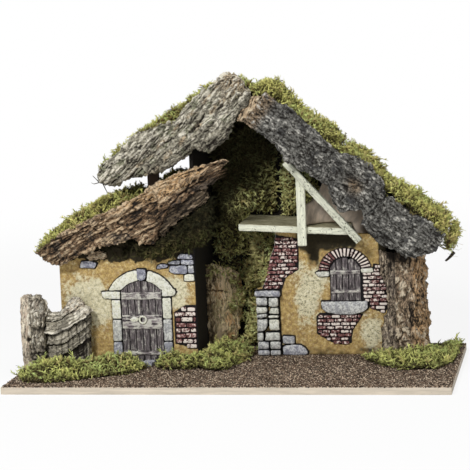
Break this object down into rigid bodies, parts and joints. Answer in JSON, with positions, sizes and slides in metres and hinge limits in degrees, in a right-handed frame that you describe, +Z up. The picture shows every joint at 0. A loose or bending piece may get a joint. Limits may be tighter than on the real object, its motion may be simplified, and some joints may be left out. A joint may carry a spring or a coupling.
{
  "type": "nativity stable",
  "caption": "Small display stable with a lean-to annex, an open cave under a loft and bark roofs on a flat base, for standing figures in.",
  "frame": {"origin": "centre of the base board's outline, on its underside", "axes": "+X along the base's long side to the viewer's right, -Y towards the viewer in front of the stable, +Z up"},
  "size_m": [0.5, 0.24, 0.34],
  "materials": {
    "base_wood": "plain sawn edge, lightly whitewashed",
    "grit": "glued brown grit with tan grains, matt",
    "stucco": "cast relief, painted ochre mottled with cream and brown, matt",
    "cast_stone": "cast stone, lilac grey with a dark wash, matt",
    "cast_brick": "cast brick, maroon with pale dry-brushed edges, matt",
    "painted_planks": "cast planks, dark brown-grey with pale dry brushing, matt",
    "wall_board": "thin board, stained brown, matt",
    "roof_board": "thin board, raw wood, matt",
    "pale_timber": "whitewashed wood with dark specks, matt",
    "inner_bark": "smooth inner bark, taupe, matt",
    "brown_bark": "rugged brown bark, matt",
    "grey_bark": "rugged grey bark with a lichen bloom, matt",
    "dark_bark": "rugged charcoal bark with pale flecks, matt",
    "moss": "dried and dyed moss, loose tufts, matt"
  },
  "bodies": {
    "root": {"base_board": "base_wood", "ground_grit": "grit", "annex_facade": "stucco", "annex_side_wall": "wall_board", "cave_left_wall": "wall_board", "cave_facade": "stucco", "right_side_wall": "wall_board", "back_panel": "wall_board", "door_step": "cast_stone", "annex_roof_board": "roof_board", "main_roof_board_left": "roof_board", "main_roof_board_right": "roof_board", "roof_prop": "roof_board", "loft_board": "pale_timber", "loft_post": "pale_timber", "loft_rafter": "pale_timber", "loft_bark": "inner_bark", "annex_roof_bark": "brown_bark", "annex_roof_splint": "brown_bark", "grey_roof_bark": "grey_bark", "dark_roof_bark_upper": "dark_bark", "dark_roof_bark_middle": "dark_bark", "dark_roof_bark_lower": "dark_bark", "ridge_bark_chip": "brown_bark", "eave_bark_chip": "grey_bark", "trunk_bark": "brown_bark", "fence_stump_bark": "grey_bark", "fence_curved_bark": "grey_bark", "cave_corner_bark": "brown_bark", "ground_moss_left": "moss", "ground_moss_centre": "moss", "ground_moss_right": "moss", "ground_moss_corner": "moss", "cave_moss_upper": "moss", "loft_moss": "moss", "cave_moss_middle": "moss", "cave_moss_low": "moss", "annex_roof_moss": "moss", "roof_gap_moss": "moss", "annex_eave_moss": "moss", "main_roof_moss_left": "moss", "main_roof_moss_upper": "moss", "main_roof_moss_lower": "moss", "roof_end_moss": "moss"}
  },
  "joints": []
}
